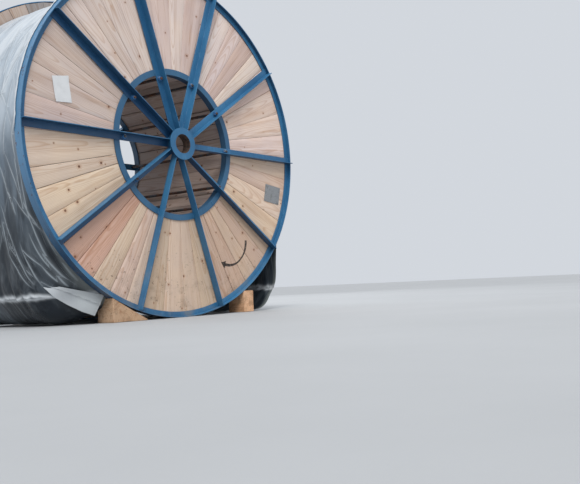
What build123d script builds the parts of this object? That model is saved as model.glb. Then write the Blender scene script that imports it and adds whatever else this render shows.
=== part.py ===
"""A loaded cable drum: a painted steel frame with board-filled flanges, a slatted barrel,
a wound load under a film wrap that hangs loose at its sides, and chocks under the rims:
wedges on the left and square-cut timbers on the right.

Millimetres. +Z is up and the floor is Z = 0. The drum's axis runs along Y, and the near
flange faces -Y. Each flange is drawn with its axis along Z and is then turned into place.
"""
import math
import os

from build123d import *

# Sizes of the whole drum
FLANGE_DIAMETER = 2000.0
INSIDE_WIDTH = 790.0          # between the two board faces
WOUND_MARGIN = 78.0           # the wound load stays this far inside the rim
SECTORS = 10                  # spokes on each flange, and tie rods

# Flange boards
BOARD_THICKNESS = 26.0
BOARD_GAP = 1.6
# Shares of a sector's angle, one list for each sector, counter-clockwise from the first spoke
BOARD_SHARES = (
    (25, 24, 27, 24),
    (20, 21, 19, 20, 20),
    (27, 23, 26, 24),
    (21, 20, 20, 18, 21),
    (20, 23, 27, 30),
    (32, 18, 24, 26),
    (20, 20, 21, 19, 20),
    (24, 26, 22, 28),
    (19, 21, 20, 21, 19),
    (26, 24, 25, 25),
)

# Rim: an outer band with a shelf inside it that bears on the boards
RIM_BAND_WALL = 5.0
RIM_SHELF_WIDTH = 33.0        # from the band's outer face
RIM_SHELF_WALL = 5.0
RIM_LIP_HEIGHT = 22.0         # the band stands this far in front of the shelf

# Inner ring: an angle, with one leg on the boards and one leg through them
INNER_RING_DIAMETER = 882.0
INNER_RING_FACE_WIDTH = 35.0
INNER_RING_WALL = 5.0
INNER_RING_REACH = 12.0       # the leg passes the boards by this much

# Spokes: angle section, flat leg on the shelf and the ring, other leg standing outward
SPOKE_FLAT_WIDTH = 40.0
SPOKE_STANDING_HEIGHT = 46.0
SPOKE_WALL = 4.0

# Hub
HUB_BORE_DIAMETER = 110.0
HUB_SLEEVE_WALL = 15.0
HUB_FACE_DIAMETER = 186.0
HUB_FACE_THICKNESS = 8.0

# Barrel and tie rods
STAVE_COUNT = 28
STAVE_THICKNESS = 25.0
STAVE_GAP = 3.0
TIE_ROD_DIAMETER = 16.0
TIE_ROD_INSET = 21.0          # rod axis to the edge of the ring's opening

# Film wrap over the load. Its loose sides leave the load, hang to a hem and end on the floor
FILM_THICKNESS = 3.0
HANG_START_ANGLE = 100.0      # from the top of the load
# Corners of a hanging side, as shares of the rim's radius: out from the middle, up from the floor
HANG_CORNERS = (
    (0.893, 0.560), (0.868, 0.310), (0.858, 0.165), (0.815, 0.118),
    (0.750, 0.045), (0.690, 0.010), (0.600, 0.001),
)
HANG_PULLED_IN = 150.0        # the left side is drawn in to the chock over this much of its width

# Chocks: wedges on the left, timbers on the right
CHOCK_HEIGHT = 132.0
CHOCK_WIDTH = 130.0
WEDGE_LENGTH = 228.0
WEDGE_TIP_HEIGHT = 6.0
TIMBER_LENGTH = 90.0
TIMBER_SEAT = 14.0            # crushed upper edge, where the rim bears on it

# Clearances
SLIDE_FIT = 1.0               # between pieces that are slipped into one another
WELD_GAP = 0.3                # between pieces that a weld would join
SEAT_GAP = 0.2                # between pieces that bear on one another
WRAP_GAP = 2.0                # between the wound load and the flange boards
RING_SEAM_ANGLE = 5.0         # turns a ring's own seam line clear of spokes, boards and rods
BOARD_START_ANGLE = 1.5       # first board seam, beside the first spoke's middle

# Worked out from the sizes above
RIM_RADIUS = FLANGE_DIAMETER / 2
BAND_INSIDE = RIM_RADIUS - RIM_BAND_WALL
HALF_INSIDE = INSIDE_WIDTH / 2
BOARD_FRONT = HALF_INSIDE + BOARD_THICKNESS
SHELF_FRONT = BOARD_FRONT + RIM_SHELF_WALL
RIM_FRONT = SHELF_FRONT + RIM_LIP_HEIGHT
SPOKE_FRONT = SHELF_FRONT + SPOKE_STANDING_HEIGHT
HUB_FRONT = SPOKE_FRONT + HUB_FACE_THICKNESS
RING_RADIUS = INNER_RING_DIAMETER / 2
RING_OPENING = RING_RADIUS - INNER_RING_FACE_WIDTH
RING_LEG_OUTSIDE = RING_OPENING + INNER_RING_WALL
TIE_ROD_CIRCLE_RADIUS = RING_OPENING - TIE_ROD_INSET
WOUND_RADIUS = RIM_RADIUS - WOUND_MARGIN
FILM_INSIDE = WOUND_RADIUS + WELD_GAP
FILM_OUTSIDE = FILM_INSIDE + FILM_THICKNESS
FILM_WIDTH = 2 * (HALF_INSIDE - WRAP_GAP)
HUB_BORE = HUB_BORE_DIAMETER / 2
HUB_SLEEVE = HUB_BORE + HUB_SLEEVE_WALL
BOARD_INNER = RING_LEG_OUTSIDE + SLIDE_FIT
BOARD_OUTER = BAND_INSIDE - SLIDE_FIT
STAVE_INNER = RING_LEG_OUTSIDE + SLIDE_FIT
STAVE_ANGLE = 360.0 / STAVE_COUNT
STAVE_WIDTH = 2 * STAVE_INNER * math.tan(math.radians(STAVE_ANGLE / 2)) - STAVE_GAP
BARREL_RADIUS = math.hypot(STAVE_INNER + STAVE_THICKNESS, STAVE_WIDTH / 2)
SECTOR_ANGLE = 360.0 / SECTORS


def ring(inner, outer, low, high):
    """A turned ring about Z, from height low to height high."""
    blank = extrude(Circle(outer) - Circle(inner), high - low)
    return Pos(0, 0, low) * Rot(0, 0, RING_SEAM_ANGLE) * blank


def group(pieces):
    """Pieces that don't touch, kept together as one part."""
    return Compound(obj=[solid for piece in pieces for solid in piece.solids()])


def rim():
    band = ring(BAND_INSIDE, RIM_RADIUS, HALF_INSIDE, RIM_FRONT)
    shelf = ring(RIM_RADIUS - RIM_SHELF_WIDTH, BAND_INSIDE, BOARD_FRONT, SHELF_FRONT)
    return band + shelf


def inner_ring():
    face = ring(RING_OPENING, RING_RADIUS, BOARD_FRONT, BOARD_FRONT + INNER_RING_WALL)
    leg = ring(RING_OPENING, RING_LEG_OUTSIDE, HALF_INSIDE - INNER_RING_REACH, BOARD_FRONT)
    return face + leg


def hub():
    sleeve = ring(HUB_BORE, HUB_SLEEVE, BOARD_FRONT, HUB_FRONT)
    face = ring(HUB_BORE, HUB_FACE_DIAMETER / 2, SPOKE_FRONT, HUB_FRONT)
    return sleeve + face


def spoke(angle):
    """One angle-section spoke. Its standing leg is on the clockwise side, seen from outside."""
    start = HUB_SLEEVE + WELD_GAP
    corner = math.hypot(BAND_INSIDE, SPOKE_FLAT_WIDTH / 2) - BAND_INSIDE
    length = BAND_INSIDE - corner - WELD_GAP - start
    half = SPOKE_FLAT_WIDTH / 2
    flat = Box(length, SPOKE_FLAT_WIDTH, SPOKE_WALL, align=(Align.MIN, Align.MIN, Align.MIN))
    standing = Box(length, SPOKE_WALL, SPOKE_STANDING_HEIGHT, align=(Align.MIN, Align.MIN, Align.MIN))
    return Rot(0, 0, angle) * Pos(start, -half, SHELF_FRONT) * (flat + standing)


def board(start_angle, end_angle):
    """One tapered flange board between two seam angles."""
    low, high = math.radians(start_angle), math.radians(end_angle)
    middle = (low + high) / 2
    half_gap = BOARD_GAP / 2

    def corner(radius, seam, side):
        turn = seam + side * math.asin(half_gap / radius)
        return (radius * math.cos(turn), radius * math.sin(turn))

    # The inner end is cut straight, and must clear the ring's leg in the middle of the board
    inner = BOARD_INNER / math.cos(high - middle)
    outline = Polyline(
        corner(inner, low, 1), corner(BOARD_OUTER, low, 1),
        corner(BOARD_OUTER, high, -1), corner(inner, high, -1), close=True)
    return Pos(0, 0, HALF_INSIDE) * extrude(make_face(outline), BOARD_THICKNESS - SEAT_GAP)


def sector_boards(sector):
    shares = BOARD_SHARES[sector]
    angle = sector * SECTOR_ANGLE + BOARD_START_ANGLE
    pieces = []
    for share in shares:
        step = SECTOR_ANGLE * share / sum(shares)
        pieces.append(board(angle, angle + step))
        angle += step
    return group(pieces)


def staves():
    length = INSIDE_WIDTH - 2 * SEAT_GAP
    plank = Box(STAVE_THICKNESS, STAVE_WIDTH, length, align=(Align.MIN, Align.CENTER, Align.CENTER))
    return group(
        Rot(0, 0, (index + 0.5) * STAVE_ANGLE) * Pos(STAVE_INNER, 0, 0) * plank
        for index in range(STAVE_COUNT))


def tie_rods():
    """The rods' shanks, from the back of one spoke's flat leg to the other flange's."""
    length = 2 * (SHELF_FRONT - SEAT_GAP)
    return group(
        Rot(0, 0, index * SECTOR_ANGLE) * Pos(TIE_ROD_CIRCLE_RADIUS, 0, 0)
        * Cylinder(TIE_ROD_DIAMETER / 2, length) for index in range(SECTORS))


def winding():
    half = HALF_INSIDE - WRAP_GAP
    return ring(BARREL_RADIUS + WELD_GAP, WOUND_RADIUS, -half, half)


def film():
    return ring(FILM_INSIDE, FILM_OUTSIDE, -FILM_WIDTH / 2, FILM_WIDTH / 2)


def film_side(width):
    """A loose side of the wrap, drawn on the drum's +X side and centred on Y."""
    start = math.radians(HANG_START_ANGLE)
    outside = [(FILM_OUTSIDE * math.sin(start), RIM_RADIUS + FILM_OUTSIDE * math.cos(start))]
    outside += [(RIM_RADIUS * out, RIM_RADIUS * up) for out, up in HANG_CORNERS]
    inside = []
    for index, (x, z) in enumerate(outside):
        before, after = outside[max(index - 1, 0)], outside[min(index + 1, len(outside) - 1)]
        run_x, run_z = after[0] - before[0], after[1] - before[1]
        step = FILM_THICKNESS / math.hypot(run_x, run_z)
        inside.append((x + step * run_z, z - step * run_x))
    outline = Polyline(*outside, *reversed(inside), close=True)
    return extrude(make_face(Plane.XZ * outline), width / 2, both=True)


def wedge():
    """A wedge on the drum's +X side, drawn along X, whose slope rests against the rim."""
    slope = math.atan2(CHOCK_HEIGHT - WEDGE_TIP_HEIGHT, WEDGE_LENGTH)
    # The slope is a tangent of the rim, so the tip stands where that tangent meets its height
    touch_x = RIM_RADIUS * math.sin(slope)
    touch_z = RIM_RADIUS * (1 - math.cos(slope))
    tip_x = touch_x - (touch_z - WEDGE_TIP_HEIGHT) / math.tan(slope) + WELD_GAP / math.sin(slope)
    side = Polyline(
        (tip_x, 0), (tip_x + WEDGE_LENGTH, 0),
        (tip_x + WEDGE_LENGTH, CHOCK_HEIGHT), (tip_x, WEDGE_TIP_HEIGHT), close=True)
    return extrude(make_face(Plane.XZ * side), CHOCK_WIDTH / 2, both=True)


def timber():
    """A square-cut timber on the drum's +X side, whose upper inner edge bears on the rim."""
    slope = math.acos(1 - CHOCK_HEIGHT / RIM_RADIUS)
    reach = RIM_RADIUS + WELD_GAP
    run_x, run_z = TIMBER_SEAT / 2 * math.cos(slope), TIMBER_SEAT / 2 * math.sin(slope)
    seat_x, seat_z = reach * math.sin(slope), RIM_RADIUS - reach * math.cos(slope)
    inner_x, top_z = seat_x - run_x, seat_z + run_z
    side = Polyline(
        (inner_x, 0), (inner_x + TIMBER_LENGTH, 0), (inner_x + TIMBER_LENGTH, top_z),
        (seat_x + run_x, top_z), (inner_x, seat_z - run_z), close=True)
    return extrude(make_face(Plane.XZ * side), CHOCK_WIDTH / 2, both=True)


def near(shape):
    """Turns a piece that is drawn about Z so that its +Z faces -Y, at the drum's height."""
    return Pos(0, 0, RIM_RADIUS) * Rot(90, 0, 0) * shape


def far(shape):
    """The same piece at the other flange, turned half round the upright line."""
    return Rot(0, 0, 180) * near(shape)


parts = {
    "rim_near": near(rim()), "rim_far": far(rim()),
    "inner_ring_near": near(inner_ring()), "inner_ring_far": far(inner_ring()),
    "hub_near": near(hub()), "hub_far": far(hub()),
    "barrel_staves": near(staves()),
    "tie_rods": near(tie_rods()),
    "cable_winding": near(winding()),
}
for index in range(SECTORS):
    name = f"{index + 1:02d}"
    parts[f"spoke_near_{name}"] = near(spoke(index * SECTOR_ANGLE))
    parts[f"spoke_far_{name}"] = far(spoke(index * SECTOR_ANGLE))
    parts[f"boards_near_{name}"] = near(sector_boards(index))
    parts[f"boards_far_{name}"] = far(sector_boards(index))

left_side = Rot(0, 0, 180) * film_side(FILM_WIDTH - HANG_PULLED_IN)
parts["film_wrap"] = near(film()) + film_side(FILM_WIDTH) + Pos(0, HANG_PULLED_IN / 2, 0) * left_side

# The chocks stand under the rims, flush with their front edges
chock_middle = RIM_FRONT - CHOCK_WIDTH / 2
for name, y in (("near", -chock_middle), ("far", chock_middle)):
    parts[f"chock_{name}_right"] = Pos(0, y, 0) * timber()
    parts[f"chock_{name}_left"] = Pos(0, y, 0) * Rot(0, 0, 180) * wedge()

os.makedirs("parts", exist_ok=True)
for name, shape in parts.items():
    export_step(shape, f"parts/{name}.step")
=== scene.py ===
"""The looks of a loaded cable drum: enamelled steel frame, pine flanges, slatted barrel,
a creased film wrap over the load, and the wedges and timbers that hold the drum.

Metres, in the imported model's frame: the drum's axis runs along Y at height 1, and the near
flange faces -Y. Pieces of a flange are drawn on its face, x to the right, y up and z outward
from the middle of the drum, and on_flange turns them into place.
"""
import random
from math import atan2, cos, exp, hypot, pi, radians, sin, sqrt, tan

import bmesh
import bpy
import numpy as np
from mathutils import Euler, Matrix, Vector, noise


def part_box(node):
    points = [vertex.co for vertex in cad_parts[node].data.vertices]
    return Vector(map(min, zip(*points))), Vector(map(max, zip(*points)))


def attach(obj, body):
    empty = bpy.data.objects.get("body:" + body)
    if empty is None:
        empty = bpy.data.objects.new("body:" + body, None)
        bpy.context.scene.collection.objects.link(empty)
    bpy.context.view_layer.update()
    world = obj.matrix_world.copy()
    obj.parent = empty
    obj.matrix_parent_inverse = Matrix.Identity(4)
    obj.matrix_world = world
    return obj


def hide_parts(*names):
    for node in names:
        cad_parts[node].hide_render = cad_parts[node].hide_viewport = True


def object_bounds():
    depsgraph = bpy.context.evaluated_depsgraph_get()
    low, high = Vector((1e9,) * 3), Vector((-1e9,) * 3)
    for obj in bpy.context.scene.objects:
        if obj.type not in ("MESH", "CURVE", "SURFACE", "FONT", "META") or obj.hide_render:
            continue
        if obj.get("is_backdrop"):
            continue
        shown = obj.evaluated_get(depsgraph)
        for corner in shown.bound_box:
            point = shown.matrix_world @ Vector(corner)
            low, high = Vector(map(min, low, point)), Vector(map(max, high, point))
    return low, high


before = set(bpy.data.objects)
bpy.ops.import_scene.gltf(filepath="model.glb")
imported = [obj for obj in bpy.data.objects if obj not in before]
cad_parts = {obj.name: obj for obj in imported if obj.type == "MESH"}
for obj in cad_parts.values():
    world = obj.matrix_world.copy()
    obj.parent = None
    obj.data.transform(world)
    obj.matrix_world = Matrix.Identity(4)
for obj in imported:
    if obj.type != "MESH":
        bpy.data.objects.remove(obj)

cad_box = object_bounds()

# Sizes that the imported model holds
AXIS_HEIGHT = 1.0
BAND_INSIDE, SHELF_INSIDE, SHELF_FRONT = 0.995, 0.967, 0.426
RING_INSIDE, RING_OUTSIDE = 0.406, 0.441
BOARD_BACK, BOARD_FRONT, BOARD_REACH = 0.3952, 0.4207, 0.9935
RING_FACE = BOARD_FRONT + 0.005
SPOKE_FACE, SPOKE_FRONT, SPOKE_HALF, SPOKE_WALL = 0.430, 0.472, 0.020, 0.004
HUB_SLEEVE, BORE_RADIUS = 0.070, 0.055
ROD_RADIUS, ROD_CIRCLE = 0.008, 0.385
STAVES, STAVE_INSIDE, STAVE_THICKNESS, STAVE_HALF_LENGTH = 28, 0.412, 0.025, 0.3945
SECTORS = 10
SECTOR = 2 * pi / SECTORS
FIRST_SEAM = radians(1.5)
WRAP_RADIUS, WRAP_HALF_WIDTH = 0.9253, 0.3915
WEDGE_TIP_HEIGHT = 0.006
TIMBER_SEAT = (0.012, 0.007)
SIDES = ("near", "far")


def paint(red, green, blue):
    """A screen colour, 0 to 255, as the linear colour that a shader takes."""
    def linear(value):
        value /= 255
        return value / 12.92 if value <= 0.04045 else ((value + 0.055) / 1.055) ** 2.4
    return (linear(red), linear(green), linear(blue), 1.0)


def on_flange(side, x, y, z):
    """A point drawn on a flange's face, in the row frame."""
    if side == "near":
        return (x, -z, AXIS_HEIGHT + y)
    return (-x, z, AXIS_HEIGHT + y)


def polar(radius, angle):
    """A point on a circle round the middle."""
    return radius * cos(angle), radius * sin(angle)


def rotated(x, y, angle):
    """A point turned round the middle."""
    return (x * cos(angle) - y * sin(angle), x * sin(angle) + y * cos(angle))


def turner(side, angle, centre=(0.0, 0.0)):
    """Gives what turns a point on a flange's face by an angle, moves it and places it."""
    def turn(x, y, z):
        right, up = rotated(x, y, angle)
        return on_flange(side, centre[0] + right, centre[1] + up, z)
    return turn


def ripple(x, y, z):
    """Smooth noise at a place, about -1 to 1."""
    return noise.noise(Vector((x, y, z)))


def add_object(name, data):
    """Puts new data into the scene as an object."""
    made = bpy.data.objects.new(name, data)
    bpy.context.scene.collection.objects.link(made)
    return made


class Piece:
    """Gathers the points and faces of one piece, with the values that its material reads."""

    def __init__(self):
        self.points, self.faces, self.kinds, self.values = [], [], [], {}

    def add(self, points, faces, kind=0, **values):
        start = len(self.points)
        self.points += [tuple(p) for p in points]
        self.faces += [tuple(start + i for i in face) for face in faces]
        self.kinds += [kind] * len(faces)
        for name, given in values.items():
            if len(given) != len(points):
                given = [given] * len(points)
            self.values.setdefault(name, []).extend(tuple(v) for v in given)

    def place(self, name, materials, slot=None, replaces=(), sharp=35, closed=True):
        """Makes the object, which rides on the one body that the model has."""
        mesh = bpy.data.meshes.new(name)
        mesh.from_pydata(self.points, [], self.faces)
        for index, face in enumerate(mesh.polygons):
            face.material_index = self.kinds[index]
        for layer, given in self.values.items():
            made = mesh.attributes.new(layer, "FLOAT_VECTOR", "POINT")
            made.data.foreach_set("vector", np.array(given, np.float32).ravel())
        if closed:
            work = bmesh.new()
            work.from_mesh(mesh)
            bmesh.ops.recalc_face_normals(work, faces=work.faces)
            work.to_mesh(mesh)
            work.free()
        mesh.shade_smooth()
        mesh.set_sharp_from_angle(angle=radians(sharp))
        for material in materials:
            mesh.materials.append(material)
        made = add_object(name, mesh)
        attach(made, "root")
        if replaces:
            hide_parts(*replaces)
        return made


def loft(rings, caps=True):
    """Faces through rings of points that all have the same number, closed round each ring."""
    count = len(rings[0])
    points = [p for ring in rings for p in ring]
    faces = []
    for row in range(len(rings) - 1):
        for i in range(count):
            j = (i + 1) % count
            faces.append((row * count + i, row * count + j,
                          (row + 1) * count + j, (row + 1) * count + i))
    if caps:
        faces.append(tuple(range(count))[::-1])
        faces.append(tuple(range((len(rings) - 1) * count, len(rings) * count)))
    return points, faces


def grid_faces(rows, columns):
    """Faces over a grid that has this many rows and columns of points."""
    return [(r * columns + c, r * columns + c + 1, (r + 1) * columns + c + 1,
             (r + 1) * columns + c) for r in range(rows - 1) for c in range(columns - 1)]


# Materials

class Finish:
    """Builds a material out of short calls, each of which returns the socket it makes.
    colour is the colour so far, which coat and tint change where their share says so."""

    def __init__(self, name):
        self.material = bpy.data.materials.new(name)
        self.material.use_nodes = True
        self.tree = self.material.node_tree
        self.tree.nodes.clear()
        self.colour = None

    def node(self, kind, inputs, out=0, **settings):
        """Adds a node. An input is a socket, which is linked, or a value."""
        made = self.tree.nodes.new("ShaderNode" + kind)
        for key, value in settings.items():
            setattr(made, key, value)
        for key, value in inputs.items():
            if isinstance(value, bpy.types.NodeSocket):
                self.tree.links.new(value, made.inputs[key])
            else:
                made.inputs[key].default_value = value
        return made.outputs[out] if made.outputs else None

    def position(self):
        return self.node("TexCoord", {}, out="Object")

    def attribute(self, name):
        return self.node("Attribute", {}, out="Vector", attribute_name=name)

    def math(self, kind, a, b=0.0, clamp=False):
        return self.node("Math", {0: a, 1: b}, operation=kind, use_clamp=clamp)

    def times(self, a, b, clamp=False):
        return self.math("MULTIPLY", a, b, clamp)

    def plus(self, a, b, clamp=False):
        return self.math("ADD", a, b, clamp)

    def minus(self, a, b):
        return self.math("SUBTRACT", a, b)

    def absolute(self, a):
        return self.math("ABSOLUTE", a)

    def hypot(self, a, b):
        return self.math("SQRT", self.plus(self.math("POWER", a, 2.0), self.math("POWER", b, 2.0)))

    def vector(self, kind, a, b=(0, 0, 0), out=0):
        return self.node("VectorMath", {0: a, 1: b}, out=out, operation=kind)

    def parts(self, vector):
        made = self.tree.nodes.new("ShaderNodeSeparateXYZ")
        self.tree.links.new(vector, made.inputs[0])
        return made.outputs[0], made.outputs[1], made.outputs[2]

    def joined(self, x, y, z):
        return self.node("CombineXYZ", {0: x, 1: y, 2: z})

    def noise(self, place, scale, detail=3.0, rough=0.5, twist=0.0):
        """Noise at one scale, or at a scale of its own along each axis."""
        if isinstance(scale, tuple):
            place, scale = self.vector("MULTIPLY", place, scale), 1.0
        return self.node("TexNoise", {"Vector": place, "Scale": scale, "Detail": detail,
                                      "Roughness": rough, "Distortion": twist})

    def swing(self, value, size):
        """A noise as a swing to both sides of zero."""
        return self.times(self.minus(value, 0.5), size)

    def step(self, value, low, high, to_low=0.0, to_high=1.0):
        """Runs smoothly from to_low to to_high while value goes from low to high."""
        return self.node("MapRange", {"Value": value, "From Min": low, "From Max": high,
                                      "To Min": to_low, "To Max": to_high},
                         interpolation_type="SMOOTHSTEP")

    def within(self, value, low, high, soft):
        return self.times(self.step(value, low - soft, low), self.step(value, high + soft, high))

    def mix(self, share, a, b, blend="MIX"):
        return self.node("Mix", {0: share, 6: a, 7: b}, out=2, data_type="RGBA",
                         blend_type=blend)

    def blend(self, value, low, high, first, second):
        """Runs from one screen colour to another while value goes from low to high."""
        return self.mix(self.step(value, low, high), paint(*first), paint(*second))

    def coat(self, share, colour):
        """Lays a screen colour, or what a socket gives, over the colour so far."""
        over = paint(*colour) if isinstance(colour, tuple) else colour
        self.colour = self.mix(share, self.colour, over)

    def tint(self, share, *factors):
        """Multiplies the colour so far."""
        over = self.mix(1.0, self.colour, (*factors, 1.0), "MULTIPLY")
        self.colour = self.mix(share, self.colour, over)

    def bump(self, height, distance, strength=1.0, normal=None):
        inputs = {"Height": height, "Distance": distance, "Strength": strength}
        if normal is not None:
            inputs["Normal"] = normal
        return self.node("Bump", inputs)

    def surface(self, **inputs):
        """Ends the material with a shader that shows the colour so far."""
        given = {key.replace("_", " "): value for key, value in inputs.items()}
        shader = self.node("BsdfPrincipled", {"Base Color": self.colour, **given})
        self.node("OutputMaterial", {"Surface": shader})
        return self.material


def enamel():
    """Brushed-on blue enamel, a little mottled and dusty, with painted highlights on its edges and
    painted light and shade on its faces.
    """
    f = Finish("blue_enamel")
    place = f.position()
    x, y, z = f.parts(place)
    fine = f.noise(place, 55, 5, 0.65)
    f.colour = f.blend(f.noise(place, 2.6, 4, 0.6), 0.32, 0.7, (38, 94, 134), (56, 116, 156))
    f.coat(f.step(f.noise(place, (38, 38, 5), 4, 0.6), 0.52, 0.75, 0, 0.28), (92, 142, 178))
    f.coat(f.step(fine, 0.56, 0.72, 0, 0.35), (26, 72, 110))
    # Painted highlight in patches along edges, where the rounded normal leaves the flat one
    rounded = f.node("Bevel", {"Radius": 0.003}, samples=4)
    flat = f.node("NewGeometry", {}, out="Normal")
    edge = f.step(f.vector("DOT_PRODUCT", rounded, flat, out="Value"), 0.985, 0.86)
    edge_highlight = f.times(edge, f.step(f.noise(place, 34, 6, 0.7), 0.5, 0.62))
    f.coat(f.times(edge_highlight, 0.55), (124, 158, 186))
    # Painted shade on faces that point down
    f.coat(f.step(f.parts(flat)[2], -0.2, -0.75, 0, 0.72), (10, 40, 72))
    # Painted shade on the flat leg of a spoke, where the standing leg shelters it from above
    out, off = f.hypot(x, f.minus(z, AXIS_HEIGHT)), f.absolute(y)
    above = f.times(f.math("SIGN", y), f.math("DIVIDE", x, out))
    flat_leg = f.within(off, SPOKE_FACE - 0.001, SPOKE_FACE + 0.001, 0.0015)
    f.coat(f.times(f.step(above, -0.1, 0.8, 0, 0.68), flat_leg), (12, 44, 82))
    # The inner ring's face is duller than the rest
    ring = f.within(out, RING_INSIDE - 0.001, RING_OUTSIDE + 0.001, 0.001)
    ring = f.times(ring, f.step(off, RING_FACE + 0.0006, RING_FACE + 0.0003))
    f.coat(f.times(ring, 0.6), (48, 84, 112))
    # Painted light on the tread of the rims, lighter towards the top, then small chips down to
    # rusty steel, thicker on the tread of the rims and near the ground
    tread, low = f.step(out, 0.9985, 0.9995), f.step(z, 0.5, 0.02)
    # Painted light: the rims' tread is lighter towards the top
    f.coat(f.times(tread, f.step(z, 0.3, 0.9, 0, 0.6)), (104, 148, 184))
    risk = f.plus(f.times(tread, 0.09), f.times(low, 0.03))
    chips = f.step(f.plus(f.noise(place, 46, 6, 0.72), risk), 0.69, 0.73)
    f.coat(f.times(chips, 0.9), f.blend(fine, 0.35, 0.65, (58, 34, 24), (112, 66, 40)))
    # The bore is bare and rusty
    bore = f.step(out, BORE_RADIUS + 0.0012, BORE_RADIUS + 0.0002)
    f.coat(bore, f.blend(fine, 0.35, 0.65, (46, 37, 33), (92, 72, 60)))
    dust = f.step(f.noise(place, 9, 5, 0.6), 0.42, 0.7, 0, 0.5)
    f.coat(f.times(low, dust), (128, 122, 112))
    rough = f.step(f.noise(place, 12, 5, 0.6), 0.25, 0.8, 0.3, 0.52)
    rough = f.plus(rough, f.times(f.plus(chips, bore), 0.3), clamp=True)
    skin = f.plus(f.times(fine, 0.4), f.times(chips, -0.6))
    return f.surface(Roughness=rough, IOR=1.5, Normal=f.bump(skin, 0.0006, 0.7, rounded))


# Knots lie this far apart on a plank, and these are the smallest and largest
KNOT_SPREAD = 0.135
KNOT_RADII = (0.0028, 0.0070)


def sawn_wood(name, depth, ring_step=0.0055, knots=True, stains=None, swirl=0.0):
    """Sawn softwood. Each plank brings its own tone, and says where its heart is, so that
    the growth rings make arches on flat faces and arcs on ends."""
    f = Finish(name)
    grain, f.colour = f.attribute("grain"), f.attribute("tone")
    along, across = f.parts(grain)[:2]
    from_heart, below_heart = f.parts(f.attribute("heart"))[:2]
    bend = f.swing(f.noise(grain, (2.2, 7.0, 1.0), 3, 0.5), 0.03)
    if swirl:
        bend = f.plus(bend, f.swing(f.noise(f.position(), 17, 3, 0.55, 0.6), swirl))
    if knots:
        cell = f.tree.nodes.new("ShaderNodeTexVoronoi")
        cell.voronoi_dimensions = "2D"
        cell.inputs["Scale"].default_value = 1 / KNOT_SPREAD
        f.tree.links.new(f.joined(along, across, 0.0), cell.inputs["Vector"])
        pick, size = f.parts(cell.outputs["Color"])[:2]
        reach = f.times(cell.outputs["Distance"], KNOT_SPREAD)
        reach = f.plus(reach, f.swing(f.noise(grain, 90, 3, 0.6), 0.004))
        radius = f.times(f.step(size, 0.0, 1.0, *KNOT_RADII), f.step(pick, 0.52, 0.55))
        share = f.math("DIVIDE", reach, f.math("MAXIMUM", radius, 0.0001))
        knot_core, knot_halo = f.step(share, 1.15, 0.75), f.step(share, 3.4, 1.0)
        bend = f.plus(bend, f.times(knot_halo, 0.007))
    out = f.vector("LENGTH", f.joined(from_heart, below_heart, 0.0), out="Value")
    ring = f.math("FRACT", f.math("DIVIDE", f.plus(out, bend), ring_step))
    late = f.times(f.step(ring, 0.45, 0.92), f.step(ring, 1.0, 0.94))
    fibre = f.noise(grain, (7.0, 260.0, 260.0), 4, 0.6)
    stripe = f.noise(grain, (1.1, 34.0, 34.0), 4, 0.62, 0.4)
    flame = f.noise(grain, (1.5, 15.0, 15.0), 3, 0.6, 0.9)
    f.tint(f.step(f.noise(grain, 5.5, 3, 0.55), 0.35, 0.68, 0, 0.5), 1.12, 1.1, 1.02)
    f.tint(f.step(stripe, 0.5, 0.74, 0, depth), 0.74, 0.62, 0.52)
    f.tint(f.step(flame, 0.5, 0.7, 0, depth * 0.6), 0.76, 0.64, 0.56)
    f.tint(f.times(late, 0.34 * depth / 0.55), 0.70, 0.52, 0.38)
    f.tint(f.step(fibre, 0.5, 0.8, 0, 0.22), 0.66, 0.56, 0.48)
    if knots:
        f.tint(f.times(knot_halo, 0.42), 0.70, 0.48, 0.34)
        f.coat(knot_core, f.blend(fibre, 0.3, 0.7, (86, 56, 42), (134, 94, 70)))
    if stains:
        stains(f)
    relief = f.plus(f.times(fibre, 0.6), f.times(late, 0.35))
    return f.surface(Roughness=f.step(fibre, 0.2, 0.8, 0.58, 0.82), IOR=1.45,
                     Normal=f.bump(relief, 0.0009, 0.8))


# A plain curved arrow on the near flange: an arc of paint, thicker towards its ends
ARROW_CENTRE = (0.4057, 0.4478)
ARROW_RADIUS = 0.152
ARROW_START, ARROW_END = radians(-106), radians(2)
ARROW_THIN, ARROW_THICK = 0.0054, 0.0092
# The head starts this far inside the arc's end, and its half width shrinks by this slope
HEAD_START, HEAD_LENGTH, HEAD_HALF, HEAD_SLOPE = 0.006, 0.036, 0.024, 0.58
PAINT_EDGE = (0.0008, -0.0008)


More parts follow.
